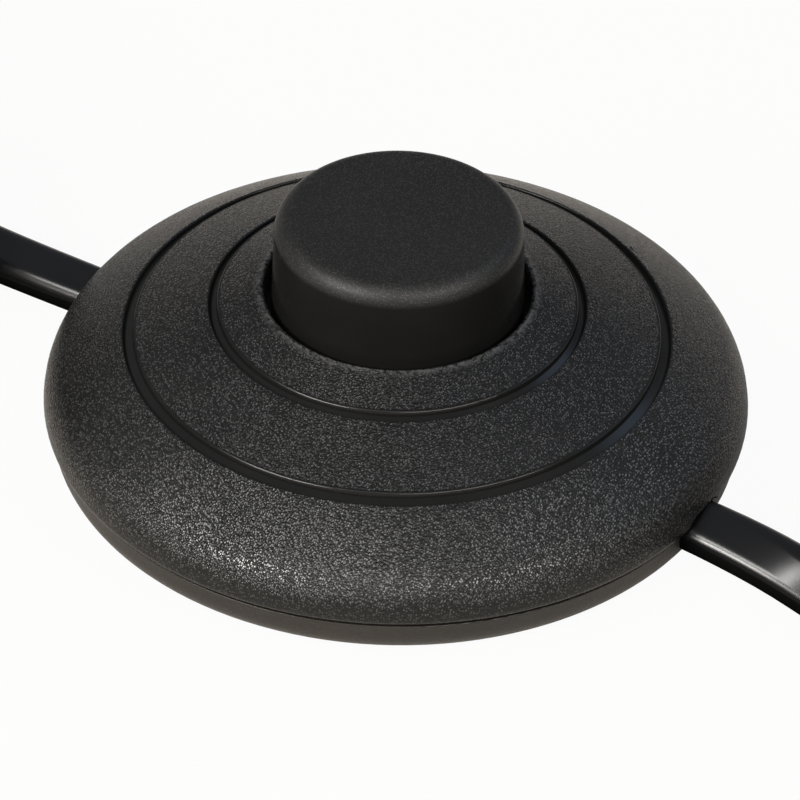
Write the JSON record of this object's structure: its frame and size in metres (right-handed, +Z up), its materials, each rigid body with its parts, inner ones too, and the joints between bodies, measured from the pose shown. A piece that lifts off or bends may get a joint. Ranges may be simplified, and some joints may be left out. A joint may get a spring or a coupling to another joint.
{
  "type": "lamp foot switch",
  "caption": "Round domed foot switch for a lamp lead, with a push button in the middle, ring grooves, a flat cord on each side and a flat pin plug.",
  "frame": {"origin": "middle of the base's underside, on the floor", "axes": "+Z up along the button's axis, +X along the lamp cord's exit, -X along the supply cord's exit"},
  "size_m": [0.254, 0.0782, 0.0259],
  "materials": {
    "housing_plastic": "spark-eroded grain",
    "button_plastic": "fine grain",
    "mechanism_plastic": "smooth",
    "clamp_plastic": "smooth",
    "spring_steel": "drawn",
    "contact_brass": "stamped",
    "contact_bronze": "stamped",
    "plated_steel": "zinc plated",
    "cord_sheath": "smooth PVC",
    "live_insulation": "smooth PVC",
    "neutral_insulation": "smooth PVC",
    "plug_plastic": "moulded PVC",
    "pin_nickel": "nickel plated",
    "tie_plastic": "smooth",
    "ferrule_tin": "tinned"
  },
  "bodies": {
    "housing": {"top_cover": "housing_plastic", "base": "housing_plastic", "case_screws": "plated_steel", "return_spring": "spring_steel", "line_in_contact": "contact_brass", "line_out_contact": "contact_brass", "neutral_link": "contact_brass", "terminal_screws": "plated_steel", "supply_cord_clamp": "clamp_plastic", "lamp_cord_clamp": "clamp_plastic", "clamp_screws": "plated_steel", "supply_live_core": "live_insulation", "supply_neutral_core": "neutral_insulation", "lamp_live_core": "live_insulation", "lamp_neutral_core": "neutral_insulation", "supply_cord": "cord_sheath", "lamp_cord": "cord_sheath", "supply_cord_hank": "cord_sheath", "lamp_cord_hank": "cord_sheath", "supply_cord_tie": "tie_plastic", "lamp_cord_tie": "tie_plastic", "supply_cord_end": "cord_sheath", "plug_body": "plug_plastic", "plug_pins": "pin_nickel", "lamp_cord_end": "cord_sheath", "lamp_end_cores": "neutral_insulation", "lamp_end_ferrules": "ferrule_tin"},
    "button": {"push_button": "button_plastic"},
    "rotor": {"ratchet_rotor": "mechanism_plastic", "contact_bridge": "contact_bronze"}
  },
  "joints": [
    {"name": "button_press", "type": "slide", "parent": "housing", "child": "button", "axis": [0, 0, -1], "range_m": [0, 0.004], "stiffness_N_per_m": 2000, "springref_m": -0.003, "deforming": ["return_spring"]},
    {"name": "rotor_turn", "type": "hinge", "parent": "housing", "child": "rotor", "pos_m": [0, 0, 0], "axis": [0, 0, 1], "range_deg": [0, 45]}
  ],
  "couplings": [
    {"joint": "rotor_turn", "follows": "button_press", "rad_per_m": 196.35}
  ]
}
